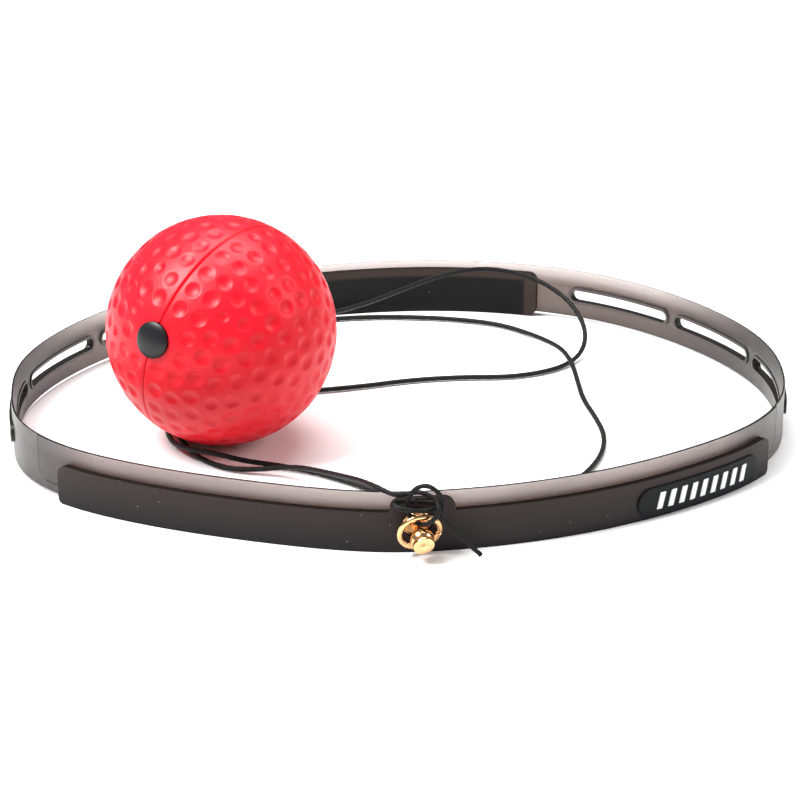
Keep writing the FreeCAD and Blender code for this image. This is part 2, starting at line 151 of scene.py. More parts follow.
FOOTPRINT_SHIFT = np.array((0.050, -0.178, 0.0))
LEAD = [
    (-13.8, 40.6, 18.4), (-5.2, 52.0, 16.8), (3.7, 62.8, 16.2),
    (14.3, 73.0, 16.5), (27.0, 80.0, 16.8), (38.3, 79.2, 15.9), (48.2, 74.0, 13.6),
    (55.4, 66.7, 9.6), (58.4, 57.6, 5.4), (57.1, 48.4, 2.4), (52.3, 40.0, 1.0),
]
LEAD_END = (48.3, 36.7, 1.0)
CORD = [
    (44.3, 33.4, 1.0), (33.1, 29.8, 1.0), (19.1, 30.6, 1.0), (4.7, 29.0, 1.0),
    (-9.1, 25.0, 1.0), (-23.1, 22.3, 1.0), (-38.1, 21.8, 1.0), (-51.9, 20.6, 1.0),
    (-62.4, 15.2, 1.0), (-64.2, 4.9, 1.0), (-63.8, -6.6, 1.0), (-61.8, -16.6, 2.0),
    (-57.6, -25.5, 4.2), (-49.9, -29.4, 4.2), (-42.9, -29.6, 2.2), (-36.1, -29.6, 1.0),
    (-29.3, -32.5, 1.0), (-22.1, -37.0, 1.0), (-14.5, -43.5, 1.0), (-6.7, -50.6, 1.0),
    (1.7, -59.0, 1.0), (12.7, -64.6, 1.0), (25.3, -62.2, 1.0), (37.1, -53.0, 1.0),
    (46.3, -41.4, 1.0), (52.5, -28.4, 1.0), (55.1, -15.0, 1.0), (54.1, -1.4, 1.0),
    (52.1, 11.0, 1.3), (51.9, 22.0, 2.5), (51.4, 32.0, 4.2), (50.0, 42.4, 4.2),
    (47.5, 53.2, 2.5), (42.9, 64.4, 1.0), (34.5, 73.2, 1.0), (22.7, 78.2, 1.0),
    (9.7, 80.9, 1.0), (-4.7, 82.0, 1.0), (-19.1, 80.4, 1.0), (-32.5, 74.6, 1.0),
    (-43.3, 65.2, 1.0), (-51.1, 52.8, 1.0), (-55.7, 39.6, 2.2), (-57.9, 27.6, 4.2),
    (-59.5, 15.6, 4.2), (-61.5, 5.0, 2.2), (-61.3, -5.0, 1.0), (-59.3, -13.8, 1.0),
    (-56.3, -21.4, 1.0), (-51.9, -28.0, 1.0), (-45.9, -32.4, 1.0), (-39.1, -34.4, 1.7),
    (-33.1, -36.8, 3.2), (-28.3, -41.2, 5.0), (-23.5, -49.8, 7.6), (-18.8, -60.2, 10.8),
    (-14.4, -71.2, 14.3), (-10.8, -82.0, 17.3),
]
HITCH_START = (-8.45, -83.95, 16.8)
HITCH = [
    (-6.1, -85.9, 16.3), (-3.4, -85.1, 16.2), (-0.5, -85.3, 17.0), (2.1, -86.3, 16.6),
    (4.1, -88.1, 15.7), (4.7, -90.0, 14.5), (4.1, -90.8, 12.7), (2.7, -90.2, 11.05),
    (1.3, -89.65, 9.85), (-0.55, -87.8, 9.5), (-2.2, -86.5, 10.7), (-3.2, -86.9, 12.9),
    (-2.9, -86.8, 15.6), (-1.6, -87.2, 18.1), (0.3, -87.8, 19.6), (2.4, -88.4, 19.7),
    (4.4, -88.9, 18.3), (5.6, -88.9, 15.9), (5.7, -88.6, 13.4), (5.0, -88.6, 11.0),
]
HITCH_END = (6.6, -88.7, 9.45)
TAIL_END = (15.0, -89.1, 1.25)
WRAP = [
    (-0.9, -84.65, 13.9), (-5.1, -84.7, 14.2), (-6.7, -86.8, 14.3), (-4.9, -88.8, 13.9),
    (-0.5, -89.1, 13.4), (3.1, -89.0, 13.5), (5.1, -86.9, 13.6), (3.5, -84.7, 13.7),
    (-0.3, -84.65, 13.85),
]
CORD_RADIUS = 0.7
KNOT_RADIUS = 0.62          # where the cord is stretched in the knot
BRAID_STEP = 0.3            # distance between the tube's rings
BRAID_PITCH = 3.2           # one strand's turn round the cord
BRAID_STRANDS = 4
BRAID_RELIEF = 0.045

BALL_CENTRE = np.array(JOINTS["ball_spin"]["pos_m"]) / MM
BORE = unit(JOINTS["ball_spin"]["axis"])
EXIT_REACH = 32.0           # the cord leaves the ball this far from its centre
LEAD_STRAIGHT = 14.0        # and first runs straight on, along the bore
CORD_EXIT = BALL_CENTRE + EXIT_REACH * BORE


def spline_line(points):
    """Points read from the smooth line that has these control points, evenly spaced."""
    curve = bpy.data.curves.new("line", "CURVE")
    curve.dimensions = "3D"
    curve.resolution_u = 16
    spline = curve.splines.new("NURBS")
    spline.points.add(len(points) - 1)
    flat = np.ones((len(points), 4))
    flat[:, :3] = points
    spline.points.foreach_set("co", flat.ravel())
    spline.order_u = 3
    spline.use_endpoint_u = True
    holder = bpy.data.objects.new("line", curve)
    mesh = bpy.data.meshes.new_from_object(holder)
    line = np.empty(len(mesh.vertices) * 3)
    mesh.vertices.foreach_get("co", line)
    line = line.reshape(-1, 3)
    bpy.data.objects.remove(holder)
    bpy.data.meshes.remove(mesh)
    bpy.data.curves.remove(curve)
    gone = np.concatenate(([0], np.cumsum(np.linalg.norm(np.diff(line, axis=0), axis=1))))
    even = np.linspace(0, gone[-1], int(gone[-1] / BRAID_STEP) + 1)
    return np.stack([np.interp(even, gone, line[:, k]) for k in range(3)], axis=-1)


def carried_frames(line):
    """A side direction at each point of a line, carried along it with no twist."""
    along = unit(np.gradient(line, axis=0))
    sides = np.empty_like(line)
    side = np.cross(along[0], (0.1, 0.2, 1.0))
    for i, t in enumerate(along):
        side = unit(side - t * (side @ t))
        sides[i] = side
    return along, sides


def braided_tube(name, line, body, cord_radius=CORD_RADIUS, start=0.0, sides=18):
    """A closed round tube along a line, with the relief of two sets of crossing strands.

    The radius swells where either set's strand is on top: the larger of two cosines of the
    angle plus or minus the distance gone, so that the strands cross as in a plait.
    """
    along, side = carried_frames(line)
    up = np.cross(along, side)
    gone = start + BRAID_STEP * np.arange(len(line))
    a = np.linspace(0, 2 * math.pi, sides + 1)
    twist = 2 * math.pi * gone[:, None] / BRAID_PITCH
    one = np.cos(BRAID_STRANDS * a[None, :] + twist)
    two = np.cos(BRAID_STRANDS * a[None, :] - twist)
    radius = cord_radius - BRAID_RELIEF + BRAID_RELIEF * np.maximum(one, two)
    ring = np.cos(a)[None, :, None] * side[:, None] + np.sin(a)[None, :, None] * up[:, None]
    grid = line[:, None] + radius[:, :, None] * ring
    ends = [np.repeat(p[None, None], sides + 1, axis=1) for p in (line[0], line[-1])]
    grid = np.concatenate((ends[0], grid, ends[1]))
    return surface(name, grid, body, stretch=(gone[-1] - gone[0], 1.0))


def nearest(line, point):
    return int(np.argmin(np.linalg.norm(line - np.asarray(point), axis=1)))


def make_cords():
    """The whole cord is one smooth line, cut where the model's pieces meet."""
    start = CORD_EXIT - FOOTPRINT_SHIFT
    route = np.array([start, start + LEAD_STRAIGHT * BORE, *LEAD, *CORD, *HITCH, TAIL_END])
    line = spline_line(route)
    cuts = [0] + [nearest(line, p) for p in (LEAD_END, HITCH_START, HITCH_END)]
    cuts.append(len(line) - 1)
    names = ("lead", "tether", "bight", "tail")
    nodes = ("cord_lead", "tether_cord", "hitch_bight", "cord_tail")
    made = {}
    for name, node, a, b in zip(names, nodes, cuts, cuts[1:]):
        part = line[a:b + 1] + FOOTPRINT_SHIFT
        body = None if name == "lead" else "headband"
        radius = KNOT_RADIUS if name in ("bight", "tail") else CORD_RADIUS
        piece = braided_tube("cord_" + name + "_braid", part, body, radius, a * BRAID_STEP)
        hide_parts(node)
        made[name] = (piece, part)
    part = spline_line(np.array(WRAP)) + FOOTPRINT_SHIFT
    piece = braided_tube("cord_wrap_braid", part, "headband", KNOT_RADIUS)
    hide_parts("hitch_wrap")
    made["wrap"] = (piece, part)
    return made


def line_length(line):
    return float(np.linalg.norm(np.diff(line, axis=0), axis=1).sum()) * MM


cords = make_cords()
lead, lead_line = cords["lead"]
print("cord lengths", {k: round(line_length(v[1]), 4) for k, v in cords.items()})
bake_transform(lead)


# The ball

BALL_RADIUS = 31.0
SEAM_LEAN = 16.5
CAP_RADIUS = 4.8
EYELET_RADIUS = 3.6
SEAT_GAP = 0.05             # between the foam and the rims of cap and eyelet
PLUG_RADIUS = 2.3           # what of cap and eyelet fills the bore
SKIN_SPARE = 0.03           # keeps the raised rims of the dimples inside the ball's radius


def turn_about(v, axis, degrees):
    a = math.radians(degrees)
    return v * math.cos(a) + np.cross(axis, v) * math.sin(a) + axis * (axis @ v) * (1 - math.cos(a))


SEAM_NORMAL = turn_about(unit(np.cross(BORE, (0.0, 0.0, 1.0))), BORE, SEAM_LEAN)
DIMPLE_RADIUS = 2.15
DIMPLE_DEPTH = 0.55
DIMPLE_ROW_GAP = 5.35
DIMPLE_GAP = 6.1
FIRST_ROW = 3.7             # distance of the first row of dimples from the seam
SEAM_WIDTH = 0.26
SEAM_DEPTH = 0.5
SEAM_COLUMNS = (0.12, 0.26, 0.42, 0.62, 0.9)    # distances of the grid's extra columns from it
SEAM_BAND = 0.95            # the even columns stay this far from it


def dimple_places():
    """Directions and radii of the dimples: staggered rows on each side of the seam's plane."""
    rng = np.random.default_rng(11)
    across = SEAM_NORMAL
    forward = np.cross(across, BORE)
    places, sizes = [], []
    for side in (1, -1):
        for row in range(9):
            tilt = (FIRST_ROW + row * DIMPLE_ROW_GAP) / BALL_RADIUS
            count = max(1, round(2 * math.pi * math.cos(tilt) * BALL_RADIUS / DIMPLE_GAP))
            a = 2 * math.pi * (np.arange(count) + 0.5 * (row % 2) + 0.25) / count
            a += rng.normal(0, 0.010, count)
            flat = np.cos(a)[:, None] * BORE + np.sin(a)[:, None] * forward
            lift = np.full(count, tilt) + rng.normal(0, 0.006, count)
            places.append(np.cos(lift)[:, None] * flat + side * np.sin(lift)[:, None] * across)
            sizes.append(np.where(rng.random(count) < 0.05, 0.75, 1.0)
                         * rng.normal(DIMPLE_RADIUS, 0.05, count))
    places, sizes = np.concatenate(places), np.concatenate(sizes)
    off_bore = BALL_RADIUS * np.arccos(np.clip(np.abs(places @ BORE), 0, 1))
    clear = off_bore > np.where(places @ BORE > 0, EYELET_RADIUS, CAP_RADIUS) + sizes + 0.2
    return places[clear], sizes[clear]


def ball_grid():
    """A sphere about the bore, from the cap to the exit, in polar rows and round columns.

    The radius loses a shallow dish at each dimple, depth times one less the squared share of
    its rim, and a bell-shaped groove where the distance to the seam's plane is small. Round
    each dimple it gains a faint raised rim. Inside the cap's and the eyelet's rims it drops to
    a flat seat.
    """
    forward = np.cross(SEAM_NORMAL, BORE)
    cap_edge = math.asin((CAP_RADIUS + SEAT_GAP) / BALL_RADIUS)
    eye_edge = math.pi - math.asin((EYELET_RADIUS + SEAT_GAP) / BALL_RADIUS)
    rows = np.concatenate((
        [0.0, cap_edge * 0.995], np.linspace(cap_edge, eye_edge, 200),
        [math.pi - (math.pi - eye_edge) * 0.995, math.pi],
    ))
    fine = np.array(SEAM_COLUMNS) / BALL_RADIUS
    around = np.linspace(0, 2 * math.pi, 337)
    for seam in (math.pi / 2, 3 * math.pi / 2):
        around = around[np.abs(around - seam) > SEAM_BAND / BALL_RADIUS]
        around = np.concatenate((around, [seam], seam + fine, seam - fine))
    around = np.sort(around)
    t, p = rows[:, None, None], around[None, :, None]
    way = np.sin(t) * (np.cos(p) * SEAM_NORMAL + np.sin(p) * forward) - np.cos(t) * BORE
    places, sizes = dimple_places()
    closest = way @ places.T
    which = np.argmax(closest, axis=-1)
    near = np.take_along_axis(closest, which[..., None], axis=-1)[..., 0]
    share = BALL_RADIUS * np.arccos(np.clip(near, -1, 1)) / sizes[which]
    dish = DIMPLE_DEPTH * np.clip(1 - share ** 2, 0, None)
    dish -= SKIN_SPARE * np.exp(-((share - 1.06) / 0.10) ** 2)
    off_seam = BALL_RADIUS * np.abs(way @ SEAM_NORMAL)
    groove = SEAM_DEPTH * np.exp(-(off_seam / SEAM_WIDTH) ** 2)
    radius = BALL_RADIUS - SKIN_SPARE - dish - groove
    radius[:2] = (BALL_RADIUS - 1.0) / np.cos(rows[:2])[:, None]
    radius[-2:] = (BALL_RADIUS - 0.6) / np.abs(np.cos(rows[-2:]))[:, None]
    return BALL_CENTRE + radius[..., None] * way


ball = surface("ball_dimpled_skin", ball_grid(), "ball")
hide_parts("ball_foam")


def cap_profile():
    """A shallow dome with a small rounded rim, then its stem into the bore."""
    reach = np.linspace(0, 1, 14)
    dome = [(-(BALL_RADIUS + 1.3) + 1.45 * (1 - math.sqrt(1 - (0.93 * r) ** 2)), CAP_RADIUS * r)
            for r in reach]
    rim = dome[-1][0]
    return dome + [(rim + 0.25, CAP_RADIUS + 0.02), (rim + 0.6, CAP_RADIUS - 0.05),
                   (-(BALL_RADIUS - 1.0), CAP_RADIUS - 0.1),
                   (-(BALL_RADIUS - 1.0), PLUG_RADIUS), (-(BALL_RADIUS - 9.0), PLUG_RADIUS),
                   (-(BALL_RADIUS - 9.0), 0.0)]


cap = turned("ball_cap_dome", cap_profile(), BALL_CENTRE, BORE, "ball")
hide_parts("end_cap")

EYELET = (
    [(27.0, 0.80), (27.0, PLUG_RADIUS), (30.4, PLUG_RADIUS), (30.4, 3.3)]
    + rounded_corner((30.7, 3.3), 0.3, -180, -270)[1:]
    + rounded_corner((31.1, 3.25), 0.35, 90, 0)
    + rounded_corner((31.15, 1.15), 0.3, 0, -90)
    + [(27.0, 0.80)]
)
eyelet = turned("ball_exit_eyelet", EYELET, BALL_CENTRE, BORE, "ball")
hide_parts("exit_eyelet")


# The stud and its ring

STUD_AXIS = unit(JOINTS["ring_swivel"]["axis"])
RING_CENTRE = np.array(JOINTS["ring_swivel"]["pos_m"]) / MM
RING_REACH = 3.2            # from the stud's foot to the ring's plane
RING_RADIUS = 5.05
WIRE_RADIUS = 0.75
WIRE_DOME = (0.0, 0.35, 0.68)       # radii of the wire's domed end, from its tip
DOME_SHIFTS = (-0.08, -0.07, 0.0, 0.08)     # how far these radii lie along the wire
HALF_SPLIT = 0.15           # half of the space between the wire's ends
RING_SPLIT_SIDE = np.array((0.96, 0.0, -0.20))
STUD_FACE = RING_CENTRE - RING_REACH * STUD_AXIS


SHANK_RADIUS = 1.3
SHANK_DEPTH = 1.8
SCREW_HOLE = 0.82           # radius of the hole in the shank
NECK_RADIUS = 1.55
HEAD_REACH = 5.85           # centre of the round head
HEAD_RADIUS = 3.0
DISC_RADIUS = 2.65
DISC_REACH = 8.4
FLANGE_RADIUS = 3.85
FLANGE_HOLE = 1.35
FLANGE_SUNK = 0.15
FLANGE_FACE = 0.65
FLANGE_ROUND = 0.4


def head_profile():
    """Shank, waisted neck, round head and flat end disc with a small centre mark."""
    round_head = [(HEAD_REACH + HEAD_RADIUS * math.cos(a), HEAD_RADIUS * math.sin(a))
                  for a in np.radians(np.linspace(146, 63, 20))]
    neck = [(-SHANK_DEPTH, SCREW_HOLE), (-SHANK_DEPTH, SHANK_RADIUS), (FLANGE_FACE, SHANK_RADIUS),
            (FLANGE_FACE, 1.75), (0.95, 1.6), (3.2, NECK_RADIUS)]
    disc = (rounded_corner((7.35, DISC_RADIUS - 0.15), 0.15, 180, 90)
            + rounded_corner((DISC_REACH - 0.2, DISC_RADIUS - 0.2), 0.2, 90, 0))
    return neck + round_head + disc + [(DISC_REACH, 0.32), (8.36, 0.26), (8.2, 0.0)]


head = turned("stud_head_turned", head_profile(), STUD_FACE, STUD_AXIS, "headband",
              sides=96)
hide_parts("stud_head")
FLANGE = (
    [(-FLANGE_SUNK, FLANGE_HOLE), (-FLANGE_SUNK, FLANGE_RADIUS)]
    + rounded_corner((FLANGE_FACE - FLANGE_ROUND, FLANGE_RADIUS - FLANGE_ROUND), FLANGE_ROUND, 90, 0)
    + [(FLANGE_FACE, 2.4), (0.58, 2.3), (0.58, FLANGE_HOLE), (-FLANGE_SUNK, FLANGE_HOLE)]
)
flange = turned("stud_flange_turned", FLANGE, STUD_FACE, STUD_AXIS, "headband",
                sides=96)
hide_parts("stud_flange")


def split_ring():
    """A round wire bent to a circle with its two ends a hair apart, each end a little domed."""
    half_gap = HALF_SPLIT / RING_RADIUS
    turn = np.linspace(half_gap, 2 * math.pi - half_gap, 160)
    turn = np.concatenate(([turn[0]] * 3, turn, [turn[-1]] * 3))
    wire = np.full(len(turn), WIRE_RADIUS)
    wire[:3], wire[-3:] = WIRE_DOME, WIRE_DOME[::-1]
    nudge = np.zeros(len(turn))
    nudge[:4], nudge[-4:] = DOME_SHIFTS, [-shift for shift in DOME_SHIFTS[::-1]]
    turn = turn + nudge / RING_RADIUS
    start = unit(RING_SPLIT_SIDE - STUD_AXIS * (RING_SPLIT_SIDE @ STUD_AXIS))
    other = np.cross(STUD_AXIS, start)
    out = np.cos(turn)[:, None] * start + np.sin(turn)[:, None] * other
    a = np.linspace(0, 2 * math.pi, 25)[None, :, None]
    ring = wire[:, None, None] * (np.cos(a) * out[:, None] + np.sin(a) * STUD_AXIS)
    return RING_CENTRE + RING_RADIUS * out[:, None] + ring


ring = surface("tether_ring_wire", split_ring(), "ring")
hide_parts("tether_ring")


# Pieces of the loop keep the model's shape, with their edges softened

def soften(node, width, angle=35, segments=3):
    """Merge the model's loose faces and round its edges, as a mould leaves them."""
    piece = frame["nodes"][node]
    weld = piece.modifiers.new("weld", "WELD")
    weld.merge_threshold = 1e-6
    bevel = piece.modifiers.new("rounding", "BEVEL")
    bevel.width = width * MM
    bevel.segments = segments
    bevel.limit_method = "ANGLE"
    bevel.angle_limit = math.radians(angle)
    bevel.harden_normals = False
    normals = piece.modifiers.new("normals", "WEIGHTED_NORMAL")
    normals.keep_sharp = False


for node_name, width in (
    ("headband_loop", 0.12), ("front_pad", 0.35), ("front_badge", 0.18), ("rear_pad", 0.4),
    ("rear_plate", 0.2), ("badge_bars", 0.1), ("stud_screw", 0.12), ("stud_washer", 0.1),
):
    soften(node_name, width)


# Marks of painted shade on the loop. These points of its middle line are the model's own, in
# millimetres.

LOOP = np.array((
    (1.0, -81.1), (39.6, -73.4), (75.0, -54.9), (89.7, -42.3), (100.1, -25.5), (104.4, -4.6),
    (103.8, 13.8), (88.4, 50.5), (59.7, 78.4), (21.8, 90.9), (-20.9, 88.1), (-58.1, 73.0),
    (-87.7, 46.0), (-104.0, 9.6), (-104.4, -10.6), (-101.0, -29.5), (-90.1, -45.7),
    (-74.1, -57.6), (-37.7, -73.7),
))
SLOT_PLACES = (148.6, 187.3, 225.3, -144.6, -183.1, -221.6)     # along it, from its first point
PANEL_ENDS = (-107.4, 112.5)
PANEL_FACE = 0.95           # the front panel's face, outside the middle line
PANEL_HEIGHT = 8.0
SLOT_HALF = 15.2            # half of a slot's straight run
SLOT_HEIGHT = 7.7
RIM_RADIUS = 2.62           # round ends of a slot with its rim
RIM_REACH = 6.0             # more than the rim stands out from the middle line


def middle_line(steps=2000):
    """The closed cubic spline through LOOP, as points and the distance gone at each.

    The spline's second derivatives make its slope run on at each point of LOOP.
    """
    count = len(LOOP)
    ahead = np.roll(LOOP, -1, axis=0)
    gaps = np.linalg.norm(ahead - LOOP, axis=1)
    slopes = (ahead - LOOP) / gaps[:, None]
    here = np.arange(count)
    system = np.diag(2 * (np.roll(gaps, 1) + gaps))
    system[here, here - 1] = np.roll(gaps, 1)
    system[here, (here + 1) % count] = gaps
    bends = np.linalg.solve(system, 6 * (slopes - np.roll(slopes, 1, axis=0)))
    bends_ahead = np.roll(bends, -1, axis=0)
    t = np.linspace(0, 1, steps, endpoint=False)[None, :, None]
    straight = (1 - t) * LOOP[:, None] + t * ahead[:, None]
    bowed = ((1 - t) ** 3 - (1 - t)) * bends[:, None] + (t ** 3 - t) * bends_ahead[:, None]
    line = (straight + gaps[:, None, None] ** 2 / 6 * bowed).reshape(-1, 2)
    line = np.concatenate((line, LOOP[:1])) + FOOTPRINT_SHIFT[:2]
    gone = np.concatenate(([0], np.cumsum(np.linalg.norm(np.diff(line, axis=0), axis=1))))
    return line, gone


MIDDLE_LINE, GONE = middle_line()


def station(place):
    """The point of the middle line at a distance along it, and the line's direction there."""
    where = place % GONE[-1]
    i = int(np.searchsorted(GONE, where))
    way = unit(MIDDLE_LINE[i] - MIDDLE_LINE[i - 1])
    return MIDDLE_LINE[i] + (where - GONE[i]) * way, way


def mark_rim_shade():
    """Set rim to 1 on the loop's faces that belong to a slot, its raised rim and its walls, where
    shade is painted.
    """
    mesh = frame["nodes"]["headband_loop"].data
    centres = np.empty(len(mesh.polygons) * 3)
    mesh.polygons.foreach_get("center", centres)
    x, y, z = centres.reshape(-1, 3).T / MM
    rim = np.zeros(len(x))
    for place in SLOT_PLACES:
        middle, way = station(place)
        gone_x, gone_y = x - middle[0], y - middle[1]
        along = gone_x * way[0] + gone_y * way[1]
        across = gone_x * way[1] - gone_y * way[0]
        off = np.hypot(np.clip(np.abs(along) - SLOT_HALF, 0, None), z - SLOT_HEIGHT)
        rim[(off < RIM_RADIUS) & (np.abs(across) < RIM_REACH)] = 1
    mark = mesh.attributes.new("rim", "FLOAT", "FACE")
    mark.data.foreach_set("value", rim)
    print("rim faces", int(rim.sum()), "of", len(rim))


mark_rim_shade()


# Materials

def linear(code):
    """An sRGB hex colour as linear light, with full alpha."""
    parts = np.array([int(code[i:i + 2], 16) for i in (0, 2, 4)]) / 255
    light = np.where(parts <= 0.04045, parts / 12.92, ((parts + 0.055) / 1.055) ** 2.4)
    return (*light.tolist(), 1.0)


def add(tree, kind, settings=None, links=None):
    """Add a node with its settings, by socket or property name, and its incoming links."""
    made = tree.nodes.new(kind)
    for name, value in (settings or {}).items():
        if isinstance(name, int) or name in made.inputs:
            made.inputs[name].default_value = value
        else:
            setattr(made, name, value)
    for name, source in (links or {}).items():
        tree.links.new(source, made.inputs[name])
    return made


def math_node(tree, operation, settings=None, links=None):
    """The result of a math node."""
    made = add(tree, "ShaderNodeMath", {"operation": operation, **(settings or {})}, links)
    return made.outputs[0]


def share(tree, value, start, end):
    """A factor that goes from 0 at start to 1 at end, and stays there."""
    made = add(tree, "ShaderNodeMapRange", {"From Min": start, "From Max": end}, {0: value})
    return made.outputs[0]


def mixed(tree, base, code, factor):
    """The base colour, which turns to the hex colour as the factor goes from 0 to 1."""
    made = add(tree, "ShaderNodeMix", {"data_type": "RGBA", 7: linear(code)}, {0: factor, 6: base})
    return made.outputs[2]


def noise(tree, where, scale, detail):
    made = add(tree, "ShaderNodeTexNoise", {"Scale": scale, "Detail": detail}, {"Vector": where})
    return made.outputs["Fac"]


def bumped(tree, height, strength, depth, under=None):
    """A normal that follows a height, over the one under it."""
    links = {"Height": height}
    if under:
        links["Normal"] = under
    made = add(tree, "ShaderNodeBump", {"Strength": strength, "Distance": depth}, links)
    return made.outputs["Normal"]


def blended_colours(tree, factor, low, high):
    """A ramp between two hex colours, and its colour output."""
    ramp = add(tree, "ShaderNodeValToRGB", links={"Fac": factor})
    ramp.color_ramp.elements[0].color = linear(low)
    ramp.color_ramp.elements[1].color = linear(high)
    return ramp, ramp.outputs["Color"]


def specks(tree, where, scale, size=0.035):
    """1 inside small specks, one to each cell of a net of this scale."""
    cells = add(tree, "ShaderNodeTexVoronoi", {"Scale": scale}, {"Vector": where})
    return math_node(tree, "LESS_THAN", {1: size}, {0: cells.outputs["Distance"]})


def new_material(name, surface_settings):
    material = bpy.data.materials.new(name)
    material.use_nodes = True
    tree = material.node_tree
    shader = tree.nodes["Principled BSDF"]
    for key, value in surface_settings.items():
        shader.inputs[key].default_value = value
    return material, tree, shader


PANEL_FOOT = 3.6            # the front panel's lower edge
PANEL_CORNER = 3.5          # radius of its lower corners
END_SHADE_LINE = (0.42, 0.28)     # the end's painted line of shade fades out, and is full, this far from its middle
END_REACH = 16.0


def panel_ends():
    """Where the thicker front panel ends, in metres, and the way along the loop into it."""
    ends = []
    for place in PANEL_ENDS:
        middle, way = station(place)
        x, y = middle + PANEL_FACE * np.array((way[1], -way[0]))
        inward = -np.sign(place) * way
        ends.append(((x * MM, y * MM, PANEL_HEIGHT * MM), (*inward, 0.0)))
    return ends


def panel_end_shade(tree, where, height, place, inward):
    """1 on the fine painted dark line of shade along the front panel's end, its round corner and its
    foot.

    The line lies where the distance to the outline of a rounded corner is zero.
    """
    foot, corner = PANEL_FOOT * MM, PANEL_CORNER * MM
    gone = add(tree, "ShaderNodeVectorMath", {"operation": "SUBTRACT", 1: place}, {0: where})
    gone = gone.outputs["Vector"]
    depth = add(tree, "ShaderNodeVectorMath", {"operation": "DOT_PRODUCT", 1: inward}, {0: gone})
    a = math_node(tree, "SUBTRACT", {0: corner}, {1: depth.outputs["Value"]})
    b = math_node(tree, "SUBTRACT", {0: foot + corner}, {1: height})
    both = add(tree, "ShaderNodeCombineXYZ", links={0: a, 1: b})
    over = add(tree, "ShaderNodeVectorMath", {"operation": "MAXIMUM"}, {0: both.outputs[0]})
    outside = add(tree, "ShaderNodeVectorMath", {"operation": "LENGTH"},
                  {0: over.outputs["Vector"]}).outputs["Value"]
    larger = math_node(tree, "MAXIMUM", links={0: a, 1: b})
    inside = math_node(tree, "MINIMUM", {1: 0.0}, {0: larger})
    total = math_node(tree, "ADD", links={0: outside, 1: inside})
    off = math_node(tree, "SUBTRACT", {1: corner}, {0: total})
    off = math_node(tree, "ABSOLUTE", links={0: off})
    line = share(tree, off, END_SHADE_LINE[0] * MM, END_SHADE_LINE[1] * MM)
    far = add(tree, "ShaderNodeVectorMath", {"operation": "LENGTH"}, {0: gone}).outputs["Value"]
    near = math_node(tree, "LESS_THAN", {1: END_REACH * MM}, {0: far})
    return math_node(tree, "MULTIPLY", links={0: line, 1: near})


def smoky_elastomer():
    """Smoky transparent TPE, injection moulded: a clear grey-brown gel with a satin mould face
    that blurs what is behind it, and is darker where the wall is thicker. Shade is painted into
    its colour in the side bends, on its edge faces, round the slots and along the front panel's end."""
    material, tree, shader = new_material("smoky_tpe_moulded", {
        "Roughness": 0.36, "IOR": 1.49, "Specular IOR Level": 0.2,
    })
    where = add(tree, "ShaderNodeTexCoord").outputs["Object"]
    apart = add(tree, "ShaderNodeSeparateXYZ", links={0: where})
    height = apart.outputs["Z"]
    # the smoke thins out in the lip, 4 mm high
    _, tint = blended_colours(tree, share(tree, height, 0.0105, 0.0130), "B4A8A2", "FFFEFD")
    # painted shade: the colour is darker in the two tight side bends
    aside = math_node(tree, "ABSOLUTE", links={0: apart.outputs["X"]})
    bend_shade = mixed(tree, tint, "6E6664", share(tree, aside, 0.080, 0.103))
    # bubbles and dark specks of about 0.2 mm
    colour = mixed(tree, bend_shade, "3A3230", specks(tree, where, 330.0))
    # painted shade: the cut-like faces, those that do not look along the loop's radius, are painted
    # dark and made less clear
    outward = add(tree, "ShaderNodeVectorMath", {"operation": "MULTIPLY", 1: (1.0, 1.2, 0.0)},
                  {0: where})
    radial = add(tree, "ShaderNodeVectorMath", {"operation": "NORMALIZE"},
                 {0: outward.outputs["Vector"]})
    normal = add(tree, "ShaderNodeNewGeometry").outputs["Normal"]
    facing = add(tree, "ShaderNodeVectorMath", {"operation": "DOT_PRODUCT"},
                 {0: radial.outputs["Vector"], 1: normal})
    flat_on = math_node(tree, "ABSOLUTE", links={0: facing.outputs["Value"]})
    painted_shade = share(tree, flat_on, 0.85, 0.5)
    # painted shade also on the slots' rims, in part, and on the line where the front panel ends
    rim = add(tree, "ShaderNodeAttribute", {"attribute_name": "rim"}).outputs["Fac"]
    painted_shade = math_node(tree, "MULTIPLY_ADD", {1: 0.75}, {0: rim, 2: painted_shade})
    painted_shade = math_node(tree, "MINIMUM", {1: 1.0}, {0: painted_shade})
    for place, inward in panel_ends():
        line = panel_end_shade(tree, where, height, place, inward)
        painted_shade = math_node(tree, "MAXIMUM", links={0: painted_shade, 1: line})
    tree.links.new(mixed(tree, colour, "1C1817", painted_shade), shader.inputs["Base Color"])
    clear = add(tree, "ShaderNodeMapRange", {"To Min": 0.96, "To Max": 0.12}, {0: painted_shade})
    tree.links.new(clear.outputs[0], shader.inputs["Transmission Weight"])
    # mould-face grain of about 0.35 mm, and a soft unevenness of about 12 mm
    fine = bumped(tree, noise(tree, where, 2900.0, 2.0), 0.15, 0.00003)
    bump = bumped(tree, noise(tree, where, 85.0, 1.0), 0.3, 0.0004, under=fine)
    tree.links.new(bump, shader.inputs["Normal"])
    smoke = add(tree, "ShaderNodeVolumeAbsorption", {"Color": (0.50, 0.43, 0.41, 1.0),
                                                     "Density": 2350.0})
    tree.links.new(smoke.outputs["Volume"], tree.nodes["Material Output"].inputs["Volume"])
    return material


